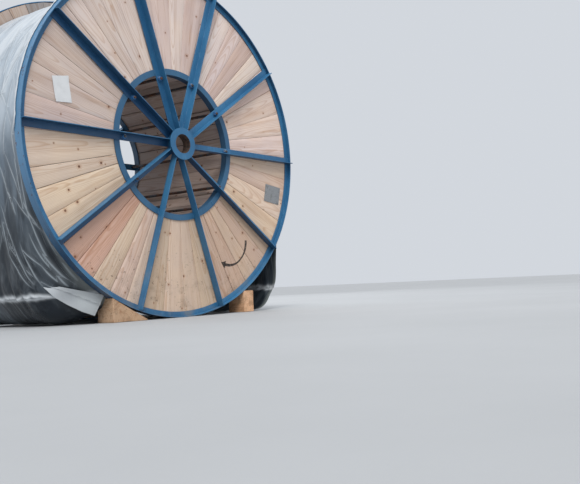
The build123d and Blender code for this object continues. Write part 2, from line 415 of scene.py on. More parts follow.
def flange_stains(f):
    """Dirt, mud specks and wet marks low on the flanges, and the painted arrow."""
    place = f.position()
    x, y, z = f.parts(place)
    blots = f.noise(place, 11, 5, 0.66)
    f.coat(f.times(f.step(z, 0.42, 0.06), f.step(blots, 0.45, 0.72, 0, 0.42)), (118, 100, 82))
    specks = f.step(f.noise(place, 62, 4, 0.7), 0.585, 0.65, 0, 0.7)
    specks = f.times(f.times(specks, f.step(z, 0.48, 0.30)), f.step(blots, 0.44, 0.56, 0.15, 1))
    f.coat(specks, (74, 58, 46))
    wash = f.noise(place, (3.4, 3.4, 1.1), 3, 0.5)
    f.tint(f.step(wash, 0.56, 0.75, 0, 0.3), 0.80, 0.76, 0.74)
    # The arrow's arc
    side, up = f.minus(x, ARROW_CENTRE[0]), f.minus(z, ARROW_CENTRE[1])
    off = f.absolute(f.minus(f.hypot(side, up), ARROW_RADIUS))
    angle = f.math("ARCTAN2", up, side)
    middle, half = (ARROW_START + ARROW_END) / 2, (ARROW_END - ARROW_START) / 2
    ends = f.absolute(f.math("DIVIDE", f.minus(angle, middle), half))
    width = f.step(ends, 0.15, 0.95, ARROW_THIN, ARROW_THICK)
    line = f.times(f.step(f.minus(off, width), *PAINT_EDGE), f.step(ends, 1.0, 0.985))
    # Its head: the width of a wedge that closes beyond the lower end
    beyond = f.times(f.minus(middle - half, angle), ARROW_RADIUS)
    wedge = f.minus(HEAD_HALF, f.times(f.plus(beyond, HEAD_START), HEAD_SLOPE))
    head = f.times(f.step(f.minus(off, wedge), *PAINT_EDGE),
                   f.step(beyond, -HEAD_START - 0.001, -HEAD_START + 0.001))
    head = f.times(head, f.step(beyond, HEAD_LENGTH, HEAD_LENGTH - 0.004))
    near_face = f.step(y, -0.41, -0.4195)
    mark = f.times(f.math("MAXIMUM", line, head), near_face)
    patchy = f.step(f.noise(place, 120, 4, 0.7), 0.3, 0.48, 0.55, 0.96)
    f.coat(f.times(mark, patchy), (22, 20, 22))


def chock_stains(f):
    """Brown damp stains and grey handling dirt."""
    place = f.position()
    f.coat(f.step(f.noise(place, 13, 4, 0.62, 0.8), 0.47, 0.62, 0, 0.5), (132, 98, 70))
    f.coat(f.step(f.noise(place, 48, 5, 0.7), 0.55, 0.68, 0, 0.4), (92, 74, 58))


def rod_steel():
    """Plain rolled steel, dark, with brown rust coming through."""
    f = Finish("rusty_steel")
    place = f.position()
    patches, fine = f.noise(place, 16, 6, 0.65), f.noise(place, 130, 5, 0.65)
    rusty = f.step(patches, 0.42, 0.6)
    f.colour = f.blend(fine, 0.3, 0.7, (62, 62, 64), (98, 98, 100))
    f.coat(rusty, f.blend(fine, 0.35, 0.65, (66, 42, 30), (118, 76, 50)))
    return f.surface(Metallic=f.step(patches, 0.42, 0.6, 0.85, 0.15),
                     Roughness=f.step(patches, 0.35, 0.6, 0.42, 0.78),
                     Normal=f.bump(f.times(fine, rusty), 0.0008, 0.8))


def zinc_steel():
    """Zinc-plated nuts and washers with blue overspray."""
    f = Finish("zinc_plated_steel")
    place = f.position()
    patches, fine = f.noise(place, 60, 4, 0.6), f.noise(place, 240, 4, 0.6)
    f.colour = f.blend(fine, 0.3, 0.7, (120, 128, 136), (160, 167, 174))
    f.coat(f.step(patches, 0.4, 0.5), (40, 98, 150))
    return f.surface(Metallic=f.step(patches, 0.4, 0.5, 0.7, 0.0),
                     Roughness=f.step(fine, 0.3, 0.7, 0.4, 0.58),
                     Normal=f.bump(fine, 0.0004, 0.6))


CABLE_DIAMETER = 0.046


def cable_jacket():
    """Black extruded jacket in round turns, scuffed and dusty."""
    f = Finish("cable_jacket")
    place = f.position()
    turns = f.absolute(f.math("SINE", f.times(f.parts(place)[1], pi / CABLE_DIAMETER)))
    fine = f.noise(place, 70, 5, 0.6)
    f.colour = f.blend(fine, 0.35, 0.7, (16, 17, 19), (34, 35, 38))
    f.coat(f.step(f.noise(place, 6, 4, 0.6), 0.5, 0.75, 0, 0.4), (74, 72, 70))
    height = f.plus(f.math("SQRT", turns), f.times(fine, 0.03))
    return f.surface(Roughness=f.step(fine, 0.3, 0.7, 0.38, 0.55),
                     Normal=f.bump(height, 0.01, 0.9))


def wrap_film():
    """Stretch film over dark cable: milky where it is loose and creased, with painted light and
    shade that make it dark low down, lighter towards its top and banded down the drape."""
    f = Finish("wrap_film")
    place = f.position()
    y, z = f.parts(place)[1:]
    crease, haze, milky = f.parts(f.attribute("film"))
    cloud = f.noise(place, (2.2, 5.0, 2.2), 4, 0.6, 0.6)
    # Painted light and shade: the film is dark low down and lighter towards the top, as the sky
    # lights it from above
    height = f.plus(z, f.swing(cloud, 0.5))
    f.colour = f.blend(height, 0.42, 0.86, (20, 29, 38), (98, 112, 125))
    f.coat(f.step(height, 0.80, 1.12), (170, 182, 193))
    f.coat(f.step(height, 1.35, 1.75), (184, 192, 200))
    # Veils where a loose turn stands off the dark load
    veil = f.noise(place, (1.8, 5.0, 1.2), 2, 0.5, 0.5)
    f.coat(f.times(f.step(veil, 0.51, 0.57, 0, 0.36), f.step(z, 1.1, 0.8)), (98, 108, 117))
    blots = f.noise(place, (9.0, 15.0, 7.0), 4, 0.6, 0.8)
    f.coat(f.step(blots, 0.48, 0.72, 0, 0.24), (138, 147, 154))
    # Painted light and shade in bands down the drape, like soft folds lit from above
    drape_light_and_shade = f.noise(place, (1.3, 9.0, 1.3), 3, 0.55, 1.2)
    above, below = f.step(z, 0.85, 1.45), f.step(z, 0.95, 0.7)
    f.coat(f.times(above, f.step(drape_light_and_shade, 0.46, 0.6, 0, 0.65)), (206, 211, 215))
    f.coat(f.times(above, f.step(drape_light_and_shade, 0.47, 0.37, 0, 0.7)), (136, 145, 154))
    f.coat(f.times(below, f.step(drape_light_and_shade, 0.50, 0.40, 0, 0.6)), (20, 28, 36))
    # The creases' own ridges, and finer ones between them that run down the drape
    ridge, clear = f.parts(f.attribute("ridge"))[:2]
    sharp = f.times(f.step(f.absolute(ridge), 0.0042, 0.0008), clear)
    thread = f.noise(place, (0.8, 13.0, 0.5), 1, 0.5, 0.1)
    line = f.step(f.absolute(f.minus(thread, 0.5)), 0.007, 0.0)
    patch = f.step(f.noise(place, 3.7, 2, 0.5), 0.5, 0.62, 0, 0.7)
    sharp = f.math("MAXIMUM", sharp, f.times(line, patch))
    # Each ridge shades the film on one side of it
    f.coat(f.times(f.step(ridge, 0.002, 0.010, 0, 0.6), clear),
           f.blend(z, 0.3, 1.4, (12, 18, 25), (128, 138, 148)))
    # Painted highlights along the creases' ridges and the finer lines, brighter towards the top
    f.coat(f.times(sharp, f.step(z, 0.3, 1.2, 0.64, 0.6)),
           f.blend(z, 0.3, 1.3, (166, 176, 183), (226, 231, 235)))
    f.coat(f.times(haze, 0.21, clamp=True), (140, 151, 160))
    f.coat(f.times(crease, 0.3, clamp=True), (158, 167, 173))
    # A grey-green strip of film beside the flanges, low down, painted lighter against the shade it
    # lies in
    edge = f.step(f.absolute(y), 0.352, 0.382, 0, 0.75)
    f.coat(f.times(edge, f.step(z, 1.2, 0.5)), (124, 131, 130))
    f.coat(f.times(milky, 0.92, clamp=True), (216, 221, 225))
    relief = f.plus(f.times(f.noise(place, (9, 15, 5), 4, 0.55, 0.8), 0.9),
                    f.times(f.noise(place, 48, 5, 0.65), 0.12))
    relief = f.plus(relief, f.times(sharp, 0.35))
    return f.surface(Roughness=f.step(cloud, 0.3, 0.75, 0.26, 0.42), IOR=1.4,
                     Coat_Weight=0.12, Coat_Roughness=0.15, Normal=f.bump(relief, 0.006, 0.7))


def tag_paper():
    """Damp white paper, slightly creased and stained."""
    f = Finish("tag_paper")
    place = f.position()
    stain, fine = f.noise(place, 34, 5, 0.6), f.noise(place, 700, 3, 0.6)
    f.colour = f.mix(f.step(stain, 0.45, 0.75, 0, 0.3), paint(214, 215, 216),
                     paint(186, 187, 188))
    return f.surface(Roughness=f.step(fine, 0.3, 0.7, 0.5, 0.62),
                     Normal=f.bump(f.plus(stain, f.times(fine, 0.1)), 0.0008, 0.6))


def plate_metal():
    """Dull brushed aluminium with grime."""
    f = Finish("plate_metal")
    place = f.position()
    brushed, grime = f.noise(place, (40, 40, 900), 3, 0.6), f.noise(place, 30, 5, 0.65)
    f.colour = f.blend(brushed, 0.3, 0.7, (138, 140, 142), (158, 160, 162))
    f.coat(f.step(grime, 0.5, 0.72, 0, 0.6), (96, 94, 90))
    return f.surface(Metallic=0.55, Roughness=f.step(grime, 0.3, 0.7, 0.42, 0.62),
                     Normal=f.bump(brushed, 0.0003, 0.5))


def floor_finish():
    """Pale painted concrete."""
    f = Finish("pale_floor")
    place = f.position()
    f.colour = f.blend(f.noise(place, 0.8, 5, 0.6), 0.3, 0.7, (170, 172, 174), (175, 177, 179))
    return f.surface(Roughness=0.75, Normal=f.bump(f.noise(place, 120, 3, 0.6), 0.0006, 0.4))


BLUE_ENAMEL = enamel()
FLANGE_WOOD = sawn_wood("pine_boards", 0.68, stains=flange_stains)
BARREL_WOOD = sawn_wood("barrel_boards", 0.7, ring_step=0.007)
CHOCK_WOOD = sawn_wood("chock_wood", 0.9, ring_step=0.0075, knots=False, stains=chock_stains,
                       swirl=0.05)
RUSTY_STEEL = rod_steel()
ZINC_STEEL = zinc_steel()
JACKET = cable_jacket()
FILM = wrap_film()
PAPER = tag_paper()
PLATE = plate_metal()


# Planks

# How far a plank's face is cupped and its edges wander, and how deep its heart lies
PLANK_CUP = 0.0006
PLANK_WANDER = 0.0004
HEART_DEPTH = (0.02, 0.09)


def plank(piece, turn, stations, half_width, back, front, bevel, rng, tone):
    """One sawn plank. turn takes (along, across, height) to the row frame; half_width gives
    half its width at a place along it. The corners of its front face are rounded."""
    shift = [rng.uniform(0, 60) for _ in range(3)]
    heart_side = rng.uniform(-0.05, 0.05)
    heart_below = rng.uniform(*HEART_DEPTH) * rng.choice((-1, 1))
    lean = rng.uniform(-0.04, 0.04)
    sway = rng.uniform(-0.06, 0.06)
    crown = rng.uniform(-PLANK_CUP, PLANK_CUP)
    rings, grains, hearts = [], [], []
    for along in stations:
        left, right = (half_width(along) + PLANK_WANDER * ripple(along * 9, shift[0], side * 7.3)
                       for side in (-1, 1))
        ring = [(-left, back), (right, back), (right, front - bevel),
                (right - 0.3 * bevel, front - 0.3 * bevel), (right - bevel, front)]
        for share in (0.46, 0.12, -0.2, -0.5):
            width = share * (left + right) / 2
            wave = ripple(along * 5 + shift[1], width * 30, shift[2])
            ring.append((width, front + crown * (1 - 4 * share * share) - PLANK_CUP * 0.5
                         + 0.0003 * wave - abs(crown)))
        ring += [(-left + bevel, front), (-left + 0.3 * bevel, front - 0.3 * bevel),
                 (-left, front - bevel)]
        rings.append([turn(along, across, height) for across, height in ring])
        for across, height in ring:
            grains.append((along + shift[0], across + shift[1], height + shift[2]))
            hearts.append((across - heart_side - sway * (along - stations[0]),
                           height - front + heart_below + lean * (along - stations[0]), 0.0))
    points, faces = loft(rings)
    piece.add(points, faces, grain=grains, heart=hearts, tone=[tone[:3]] * len(points))


# Board tones: pale, yellow, pink, reddish, brown and grey pine, one letter for each board
TONES = {
    "p": paint(213, 194, 179), "y": paint(214, 194, 174), "k": paint(208, 186, 173),
    "r": paint(206, 170, 153), "s": paint(188, 163, 147), "d": paint(180, 170, 166),
}
SECTOR_TONES = ("pyyp", "yskpk", "kpkk", "ppppp", "pppk", "ppyy", "rrykp", "yppy", "kkpkp",
                "ypkp")
# How light each sector is, in red, green and blue
SECTOR_CAST = (
    (1.12, 1.12, 1.24), (1.12, 1.17, 1.31), (1.02, 1.05, 1.15), (1.00, 1.03, 1.12),
    (0.89, 0.905, 0.98), (1.02, 1.02, 1.00), (1.00, 0.98, 0.97), (0.92, 0.88, 0.84),
    (0.90, 0.84, 0.78), (1.04, 1.01, 0.98),
)
# Painted shade on the far flange: its board tones are multiplied by this, in red, green and blue
FAR_PAINTED_SHADE = (0.72, 0.75, 0.77)
BOARD_SHARES = (
    (25, 24, 27, 24), (20, 21, 19, 20, 20), (27, 23, 26, 24), (21, 20, 20, 18, 21),
    (20, 23, 27, 30), (32, 18, 24, 26), (20, 20, 21, 19, 20), (24, 26, 22, 28),
    (19, 21, 20, 21, 19), (26, 24, 25, 25),
)
BOARD_GAPS = (0.0004, 0.0007, 0.0011, 0.0017)
BOARD_BEVEL = 0.0014


def flange_boards():
    """The boards of both flanges, one piece for each sector between two spokes."""
    for side in SIDES:
        for sector, shares in enumerate(BOARD_SHARES):
            rng = random.Random(f"boards {side} {sector}")
            piece = Piece()
            low = sector * SECTOR + FIRST_SEAM
            for index, share in enumerate(shares):
                high = low + SECTOR * share / sum(shares)
                middle, half = (low + high) / 2, (high - low) / 2
                gap = rng.choice(BOARD_GAPS) / cos(half)
                outer = sqrt(BOARD_REACH ** 2 - (BOARD_REACH * sin(half)) ** 2)
                stations = [STAVE_INSIDE + (outer - STAVE_INSIDE) * i / 11 for i in range(12)]
                light = rng.uniform(0.92, 1.06)
                if side == "near":
                    letter, cast = SECTOR_TONES[sector][index], SECTOR_CAST[sector]
                else:
                    # The far flange takes greyer tones and painted shade
                    letter, cast = rng.choice("ddk"), FAR_PAINTED_SHADE
                tone = [channel * light * part for channel, part in zip(TONES[letter], cast)]
                plank(piece, turner(side, middle), stations,
                      lambda along: along * tan(half) - gap,
                      BOARD_BACK, BOARD_FRONT - rng.uniform(0, 0.0008), BOARD_BEVEL, rng, tone)
                low = high
            piece.place(f"flange_boards_{side}_{sector + 1:02d}", [FLANGE_WOOD], "flange_board",
                        [f"boards_{side}_{sector + 1:02d}"])


SLAT_GAPS = (0.001, 0.0015, 0.002, 0.003)
SLAT_BEVEL = 0.002
SLAT_FACE = STAVE_INSIDE + STAVE_THICKNESS


def barrel():
    """The slatted barrel, each slat with its own width, tone and wane."""
    rng = random.Random("barrel")
    piece = Piece()
    step = 2 * pi / STAVES
    half_slat = STAVE_INSIDE * tan(step / 2)
    for index in range(STAVES):
        gap = rng.choice(SLAT_GAPS)
        turn = turner("near", (index + 0.5) * step)
        stations = [STAVE_HALF_LENGTH * (i / 5 - 1) for i in range(11)]
        light = rng.uniform(0.72, 0.96)
        tone = [channel * light for channel in paint(205, 186, 177)[:3]]
        plank(piece, lambda along, across, height: turn(SLAT_FACE - height, across, along),
              stations, lambda along: half_slat - gap, 0.0005,
              STAVE_THICKNESS - rng.uniform(0.0002, 0.0006), SLAT_BEVEL, rng, tone)
    piece.place("barrel_slats", [BARREL_WOOD], "barrel_board", ["barrel_staves"])


# Steel details

BEAD_STEP = 0.0028


def bead(piece, points, normal, radius, rng):
    """A weld bead along a line: a rippled half-round, sunk a little into what it joins."""
    line = [Vector(p) for p in points]
    normal = Vector(normal)
    total = sum((b - a).length for a, b in zip(line, line[1:]))
    count = max(4, round(total / BEAD_STEP))
    rings, phase = [], rng.uniform(0, 6)
    for i in range(count + 1):
        share = i / count * (len(line) - 1)
        at = min(int(share), len(line) - 2)
        centre = line[at].lerp(line[at + 1], share - at)
        ahead = (line[at + 1] - line[at]).normalized()
        side = ahead.cross(normal).normalized()
        up = side.cross(ahead).normalized()
        swell = radius * (0.86 + 0.16 * sin(i * 2.2 + phase) + rng.uniform(-0.07, 0.07))
        if i in (0, count):
            swell *= 0.45
        ring = []
        for k in range(7):
            around = pi * k / 6
            ring.append(centre + side * (swell * cos(around))
                        + up * (swell * 0.75 * sin(around)))
        ring.append(centre - up * (radius * 0.35))
        rings.append(ring)
    piece.add(*loft(rings))


def welds():
    """Beads where the spokes meet the ring, the shelf and band of the rim, and the hub."""
    foot = SHELF_FRONT + 0.0004
    leg = -SPOKE_HALF + SPOKE_WALL
    at_band, at_hub = BAND_INSIDE - 0.0012, HUB_SLEEVE + 0.0024
    # Each bead as points (along the spoke, across it, outward) and a radius: first on the
    # flange's face along both edges, across the end and round the hub, then up the inside
    # of the standing leg
    on_face = [(((inner, across, foot), (outer, across, foot)), 0.0034)
               for across in (-SPOKE_HALF - 0.0008, SPOKE_HALF + 0.0008)
               for inner, outer in ((RING_INSIDE + 0.003, RING_OUTSIDE - 0.003),
                                    (SHELF_INSIDE + 0.002, BAND_INSIDE - 0.003))]
    on_face += [(((BAND_INSIDE - 0.0016, -SPOKE_HALF + 0.004, SPOKE_FACE),
                  (at_band, SPOKE_HALF, SPOKE_FACE)), 0.0032),
                (((HUB_SLEEVE + 0.0022, -SPOKE_HALF + 0.004, SPOKE_FACE),
                  (HUB_SLEEVE + 0.0008, 0, SPOKE_FACE), (at_hub, SPOKE_HALF, SPOKE_FACE)), 0.0034)]
    up_leg = [(((at_band, leg, SPOKE_FACE + 0.003), (at_band, leg, 0.4465)), 0.003),
              (((at_hub, leg, SPOKE_FACE + 0.003), (at_hub, leg, SPOKE_FRONT - 0.002)), 0.0034)]
    for side in SIDES:
        rng = random.Random(f"welds {side}")
        piece = Piece()
        outward = Vector(on_flange(side, 0, 0, 1)) - Vector(on_flange(side, 0, 0, 0))
        for index in range(SECTORS):
            spot = turner(side, index * SECTOR)
            inward = Vector(spot(0, 1, 0)) - Vector(spot(0, 0, 0))
            for beads, normal in ((on_face, outward), (up_leg, inward)):
                for points, radius in beads:
                    bead(piece, [spot(*p) for p in points], normal, radius, rng)
        # Where the rolled rim and ring were closed
        for radius_in, radius_out, angle in ((SHELF_INSIDE, BAND_INSIDE, 3.77),
                                             (RING_INSIDE, RING_OUTSIDE, 5.4)):
            ends = [on_flange(side, *polar(radius, angle), SHELF_FRONT)
                    for radius in (radius_in + 0.002, radius_out - 0.002)]
            bead(piece, ends, outward, 0.0036, rng)
        piece.place(f"weld_beads_{side}", [BLUE_ENAMEL], "frame_paint")


def turned(piece, turn, profile, segments, kind=0):
    """A body of revolution from (radius, height) pairs, the last and first on its axis."""
    rings = [[turn(*polar(radius, 2 * pi * i / segments), height) for i in range(segments)]
             for radius, height in profile]
    piece.add(*loft(rings), kind)


NUT_POINTS = 36
NUT_FLATS, NUT_SEAT, NUT_TOP, NUT_CHAMFER = 0.024, 0.0028, 0.0158, 0.0012
# Radius and height above the spoke of a washer's corners, after the bore's lower one
WASHER = ((0.0145, 0), (0.015, 0.0006), (0.015, 0.0022), (0.0144, 0.0027))
THREAD_PITCH, THREAD_DEPTH = 0.002, 0.001


def hexagon(piece, turn, flats, low, high, bore):
    """A chamfered hexagonal nut round a bore."""
    rings = []
    corner, face = flats / 2 / cos(pi / 6), flats / 2 * 0.97
    for height, limit in ((low, bore), (low, face), (low + NUT_CHAMFER, corner),
                          (high - NUT_CHAMFER, corner), (high, face), (high, bore)):
        ring = []
        for i in range(NUT_POINTS):
            angle = 2 * pi * i / NUT_POINTS
            off = (angle + pi / 6) % (pi / 3) - pi / 6
            ring.append(turn(*polar(min(flats / 2 / cos(off), limit), angle), height))
        rings.append(ring)
    points, faces = loft(rings, caps=False)
    last = (len(rings) - 1) * NUT_POINTS
    for i in range(NUT_POINTS):
        j = (i + 1) % NUT_POINTS
        faces.append((j, i, last + i, last + j))
    piece.add(points, faces)


def fasteners():
    """A washer, a nut and the threaded end of each tie rod, on both flanges."""
    bore, face = ROD_RADIUS - 0.0004, SPOKE_FACE + 0.0001
    washer = [(bore, face), *((radius, face + up) for radius, up in WASHER),
              (bore, face + WASHER[-1][1])]
    for side in SIDES:
        rng = random.Random(f"nuts {side}")
        piece = Piece()
        for index in range(SECTORS):
            turn = turner(side, rng.uniform(0, pi / 3), polar(ROD_CIRCLE, index * SECTOR))
            turned(piece, turn, washer, 32)
            hexagon(piece, turn, NUT_FLATS, face + NUT_SEAT, face + NUT_TOP, bore)
            tip = face + NUT_TOP + rng.uniform(0.005, 0.0095)
            thread, height = [(0.0005, face - 0.003), (ROD_RADIUS - 0.0005, face - 0.003)], face
            while height < tip - THREAD_PITCH:
                thread += [(ROD_RADIUS - 0.0001 - THREAD_DEPTH, height),
                           (ROD_RADIUS - 0.0001, height + THREAD_PITCH / 2)]
                height += THREAD_PITCH
            thread += [(ROD_RADIUS - 0.002, tip), (0.0005, tip)]
            turned(piece, turn, thread, 20, 1)
        piece.place(f"rod_nuts_{side}", [ZINC_STEEL, RUSTY_STEEL], "rod_steel", sharp=28)


# The tag and the plate

TAG_CORNERS = ((-0.788, 0.131), (-0.694, 0.138), (-0.713, 0.275), (-0.806, 0.259))
PLATE_CORNERS = ((0.745, -0.283), (0.886, -0.304), (0.911, -0.19), (0.768, -0.17))
TAG_THICKNESS, PLATE_THICKNESS = 0.0003, 0.0012
# Where the rivets sit, as shares of the plate, and a rivet's outline, (radius, height)
RIVETS = ((0.07, 0.07), (0.93, 0.07), (0.93, 0.93), (0.07, 0.93))
RIVET = ((0.0002, 0), (0.0044, 0), (0.0042, 0.001), (0.003, 0.002), (0.0014, 0.0025),
         (0.0002, 0.0026))


def on_patch(corners, u, v):
    """A place between four corners on the near flange, at shares u along and v up."""
    a, b, c, d = (Vector((x, y, 0)) for x, y in corners)
    return a.lerp(b, u).lerp(d.lerp(c, u), v)


def thick_patch(piece, corners, columns, rows, height, thickness):
    """A thin sheet between four corners, with a back and edges. height gives its front."""
    front = []
    for row in range(rows + 1):
        for column in range(columns + 1):
            u, v = column / columns, row / rows
            flat = on_patch(corners, u, v)
            front.append((flat.x, flat.y, height(u, v)))
    count, wide = len(front), columns + 1
    faces = grid_faces(rows + 1, wide)
    back = [(x, y, z - thickness) for x, y, z in front]
    faces += [tuple(count + i for i in reversed(face)) for face in list(faces)]
    loop = ([i for i in range(wide)] + [r * wide + columns for r in range(1, rows + 1)]
            + [rows * wide + q for q in range(columns - 1, -1, -1)]
            + [r * wide for r in range(rows - 1, 0, -1)])
    for i, j in zip(loop, loop[1:] + loop[:1]):
        faces.append((j, i, count + i, count + j))
    piece.add([on_flange("near", *p) for p in front + back], faces)


def tag_and_plate():
    """A blank paper tag and a blank riveted metal plate on the near flange."""
    def curled(u, v):
        lift = 0.0012 + 0.0012 * ripple(u * 2.3, v * 3.1, 4.0)
        lift += 0.004 * max(0.0, u - 0.8) * max(0.0, v - 0.75) / 0.05
        lift += 0.003 * max(0.0, 0.12 - u) * max(0.0, 0.16 - v) / 0.02
        return BOARD_FRONT + 0.0007 + lift

    def dented(u, v):
        return (BOARD_FRONT + 0.0022 + 0.0005 * ripple(u * 2, v * 2, 1)
                - 0.0009 * max(abs(u - 0.5), abs(v - 0.5)) ** 2 * 4)

    tag = Piece()
    thick_patch(tag, TAG_CORNERS, 14, 20, curled, TAG_THICKNESS)
    tag.place("blank_paper_tag", [PAPER])
    plate = Piece()
    thick_patch(plate, PLATE_CORNERS, 12, 12, dented, PLATE_THICKNESS)
    for u, v in RIVETS:
        turned(plate, turner("near", 0.0, on_patch(PLATE_CORNERS, u, v)),
               [(radius, BOARD_FRONT + 0.0014 + up) for radius, up in RIVET], 18)
    plate.place("blank_plate", [PLATE])


# Chocks

# Where a chock is cut across, as shares of its width
CHOCK_CUTS = (0, 0.012, 0.03, *(0.1 * k for k in range(1, 10)), 0.97, 0.988, 1)

CHOCK_POINT_STEP = 0.02
HEEL_ROUNDING, TIP_ROUNDING = 0.0025, 0.0012


def chock_outline(wedge, tip, heel, height):
    """A chock's side, (outward, up), with many points and rounded corners."""
    side = [(tip, 0.0005), (heel - 0.0006, 0.0005), (heel - 0.0006, height - 0.001)]
    if wedge:
        side.append((tip, WEDGE_TIP_HEIGHT))
    else:
        side += [(tip + TIMBER_SEAT[0], height - 0.001), (tip, height - TIMBER_SEAT[1])]
    outline = []
    for i in range(len(side)):
        before, at, after = (Vector((*side[j % len(side)], 0)) for j in (i - 1, i, i + 1))
        cut = HEEL_ROUNDING if i in (1, 2) else TIP_ROUNDING
        for other in (before, after):
            outline.append(at + (other - at).normalized() * cut)
        run = after - at
        count = max(2, round(run.length / CHOCK_POINT_STEP))
        outline += [at + run * k / count for k in range(1, count)]
    return outline


def chocks():
    """Rough-sawn wedges on the left and timbers on the right, knocked about at their
    corners. The grain runs along Y, so that the growth rings show on the ends."""
    for name in ("near_left", "near_right", "far_left", "far_right"):
        rng = random.Random(f"chock {name}")
        low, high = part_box(f"chock_{name}")
        wedge = name.endswith("left")
        sign = -1 if wedge else 1
        tip, heel = sorted((abs(low.x), abs(high.x)))
        height, length, width = high.z, heel - tip, high.y - low.y
        middle_x, middle_z = (0.62, 0.36) if wedge else (0.5, 0.5)
        centre = Vector((tip + length * middle_x, height * middle_z, 0))
        outline = chock_outline(wedge, tip, heel, height)
        rings, grains, hearts = [], [], []
        shift = [rng.uniform(0, 60) for _ in range(3)]
        heart = (rng.uniform(0.2, 0.6) * length + tip, rng.uniform(-0.05, 0.03))
        for share in CHOCK_CUTS:
            inset = 0.0022 if share in (0, 1) else 0.0006 if share in (0.012, 0.988) else 0.0
            ring = []
            for p in outline:
                q = p + (centre - p).normalized() * inset
                rough = ripple(p.x * 60, p.y * 60, share * 9 + shift[0])
                q = q + (centre - q).normalized() * (0.0006 + 0.0006 * rough)
                y = low.y + width * (0.004 + 0.992 * share)
                if share in (0, 1):
                    y += 0.0007 * ripple(p.x * 40, p.y * 40, shift[1])
                ring.append((sign * q.x, y, max(q.y, 0.0002)))
                grains.append((y + shift[0], q.x + shift[1], q.y + shift[2]))
                hearts.append((q.x - heart[0] + 0.1 * (y - low.y), q.y - heart[1], 0))
            rings.append(ring)
        points, faces = loft(rings, caps=False)
        # Ends as fans of smaller faces, so that they carry their own surface
        count = len(outline)
        for end, ring_start in ((0, 0), (1, (len(rings) - 1) * count)):
            middle = Vector((0, 0, 0))
            for p in rings[-1 if end else 0]:
                middle += Vector(p) / count
            y_at = middle.y + (0.0006 if end else -0.0006) * rng.uniform(-1, 1)
            hub = len(points)
            points.append((middle.x, y_at, middle.z))
            grains.append((y_at + shift[0], abs(middle.x) + shift[1], middle.z + shift[2]))
            hearts.append((abs(middle.x) - heart[0], middle.z - heart[1], 0))
            for i in range(count):
                faces.append((ring_start + i, ring_start + (i + 1) % count, hub))
        piece = Piece()
        tone = paint(186, 156, 127) if wedge else paint(216, 180, 145)
        tone = [channel * rng.uniform(0.94, 1.06) for channel in tone[:3]]
        piece.add(points, faces, grain=grains, heart=hearts, tone=[tone] * len(points))
        piece.place(f"sawn_chock_{name}", [CHOCK_WOOD], "chock_wood", [f"chock_{name}"], sharp=40)


# The film wrap

# Rows of the wrap's mesh in its folded-under part, its hanging part and over the load
TUCK_ROWS, HANG_ROWS, OVER_ROWS = 40, 150, 339
FILM_COLUMNS = 134
OUTER_RADIUS = WRAP_RADIUS + 0.0035
LEAVES_AT = radians(100)

# The wrap's left side in cross-section, (x, z), from its folded-under end to its hem, and
# on up to where it leaves the load: in the middle of its width, and beside the near rim
TUCK_MIDDLE = ((-0.600, 0.010), (-0.690, 0.016), (-0.750, 0.045), (-0.800, 0.105))
HANG_MIDDLE = ((-0.836, 0.152), (-0.856, 0.185), (-0.865, 0.245), (-0.868, 0.310),
               (-0.880, 0.430), (-0.893, 0.560), (-0.905, 0.700))
TUCK_NEAR = ((-0.430, 0.126), (-0.450, 0.133), (-0.470, 0.141), (-0.488, 0.149))
HANG_NEAR = ((-0.506, 0.160), (-0.556, 0.200), (-0.602, 0.241), (-0.648, 0.284),
             (-0.737, 0.384), (-0.827, 0.524), (-0.886, 0.680))
PULLED_FROM, PULLED_TO, PULLED_BEND = 0.20, 0.39, 2.2


def smooth(value, low, high):
    """Runs smoothly from 0 to 1 while value, a number or an array, goes from low to high."""
    share = np.clip((value - low) / (high - low), 0, 1)
    return share * share * (3 - 2 * share)


def run_along(line):
    """How far along a line each of its points is."""
    return np.concatenate([[0], np.cumsum(np.linalg.norm(np.diff(line, axis=0), axis=1))])


def drawn_through(points, parts):
    """A smooth line through the points, laid out again in even steps. parts lists, for each
    stretch of it, the index of the point that ends it and its number of steps."""
    given = np.array(points, float)
    padded = np.vstack([2 * given[0] - given[1], given, 2 * given[-1] - given[-2]])
    steps, fine = 12, []
    for i in range(1, len(padded) - 2):
        p0, p1, p2, p3 = padded[i - 1:i + 3]
        t = np.linspace(0, 1, steps, endpoint=False)[:, None]
        fine.append(0.5 * (2 * p1 + (p2 - p0) * t + (2 * p0 - 5 * p1 + 4 * p2 - p3) * t ** 2
                           + (3 * p1 - p0 - 3 * p2 + p3) * t ** 3))
    fine = np.vstack([*fine, given[-1:]])
    run = run_along(fine)
    even, start = [], 0
    for end, count in parts:
        even.append(np.linspace(run[start * steps], run[end * steps], count, endpoint=False))
        start = end
    even = np.concatenate([*even, run[-1:]])
    return np.stack([np.interp(even, run, fine[:, k]) for k in range(2)], axis=1)


def film_line(tuck, hang):
    """The wrap's cross-section, from its left end over the load to its right end."""
    over = [(-OUTER_RADIUS * sin(a), AXIS_HEIGHT + OUTER_RADIUS * cos(a))
            for a in np.linspace(LEAVES_AT, -LEAVES_AT, 60)]
    right = [(-x, z) for x, z in (*reversed(HANG_MIDDLE), *reversed(TUCK_MIDDLE))]
    ends = [len(tuck), len(hang), len(over) - 1, len(HANG_MIDDLE), len(TUCK_MIDDLE)]
    rows = [TUCK_ROWS, HANG_ROWS, OVER_ROWS, HANG_ROWS, TUCK_ROWS]
    parts = [(sum(ends[:i + 1]), count) for i, count in enumerate(rows)]
    return drawn_through([*tuck, *hang, *over, *right], parts)


def pulled(y):
    """How far the wrap's left side is drawn in to the near rim, from 0 to 1."""
    share = max(0.0, (-y - PULLED_FROM) / (PULLED_TO - PULLED_FROM)) ** PULLED_BEND
    return min(1.0, share)


def wrap_lines():
    """Gives the wrap's cross-section at any place across its width."""
    middle, near = film_line(TUCK_MIDDLE, HANG_MIDDLE), film_line(TUCK_NEAR, HANG_NEAR)

    def line_for(y):
        share = pulled(y)
        return middle * (1 - share) + near * share

    return middle, line_for


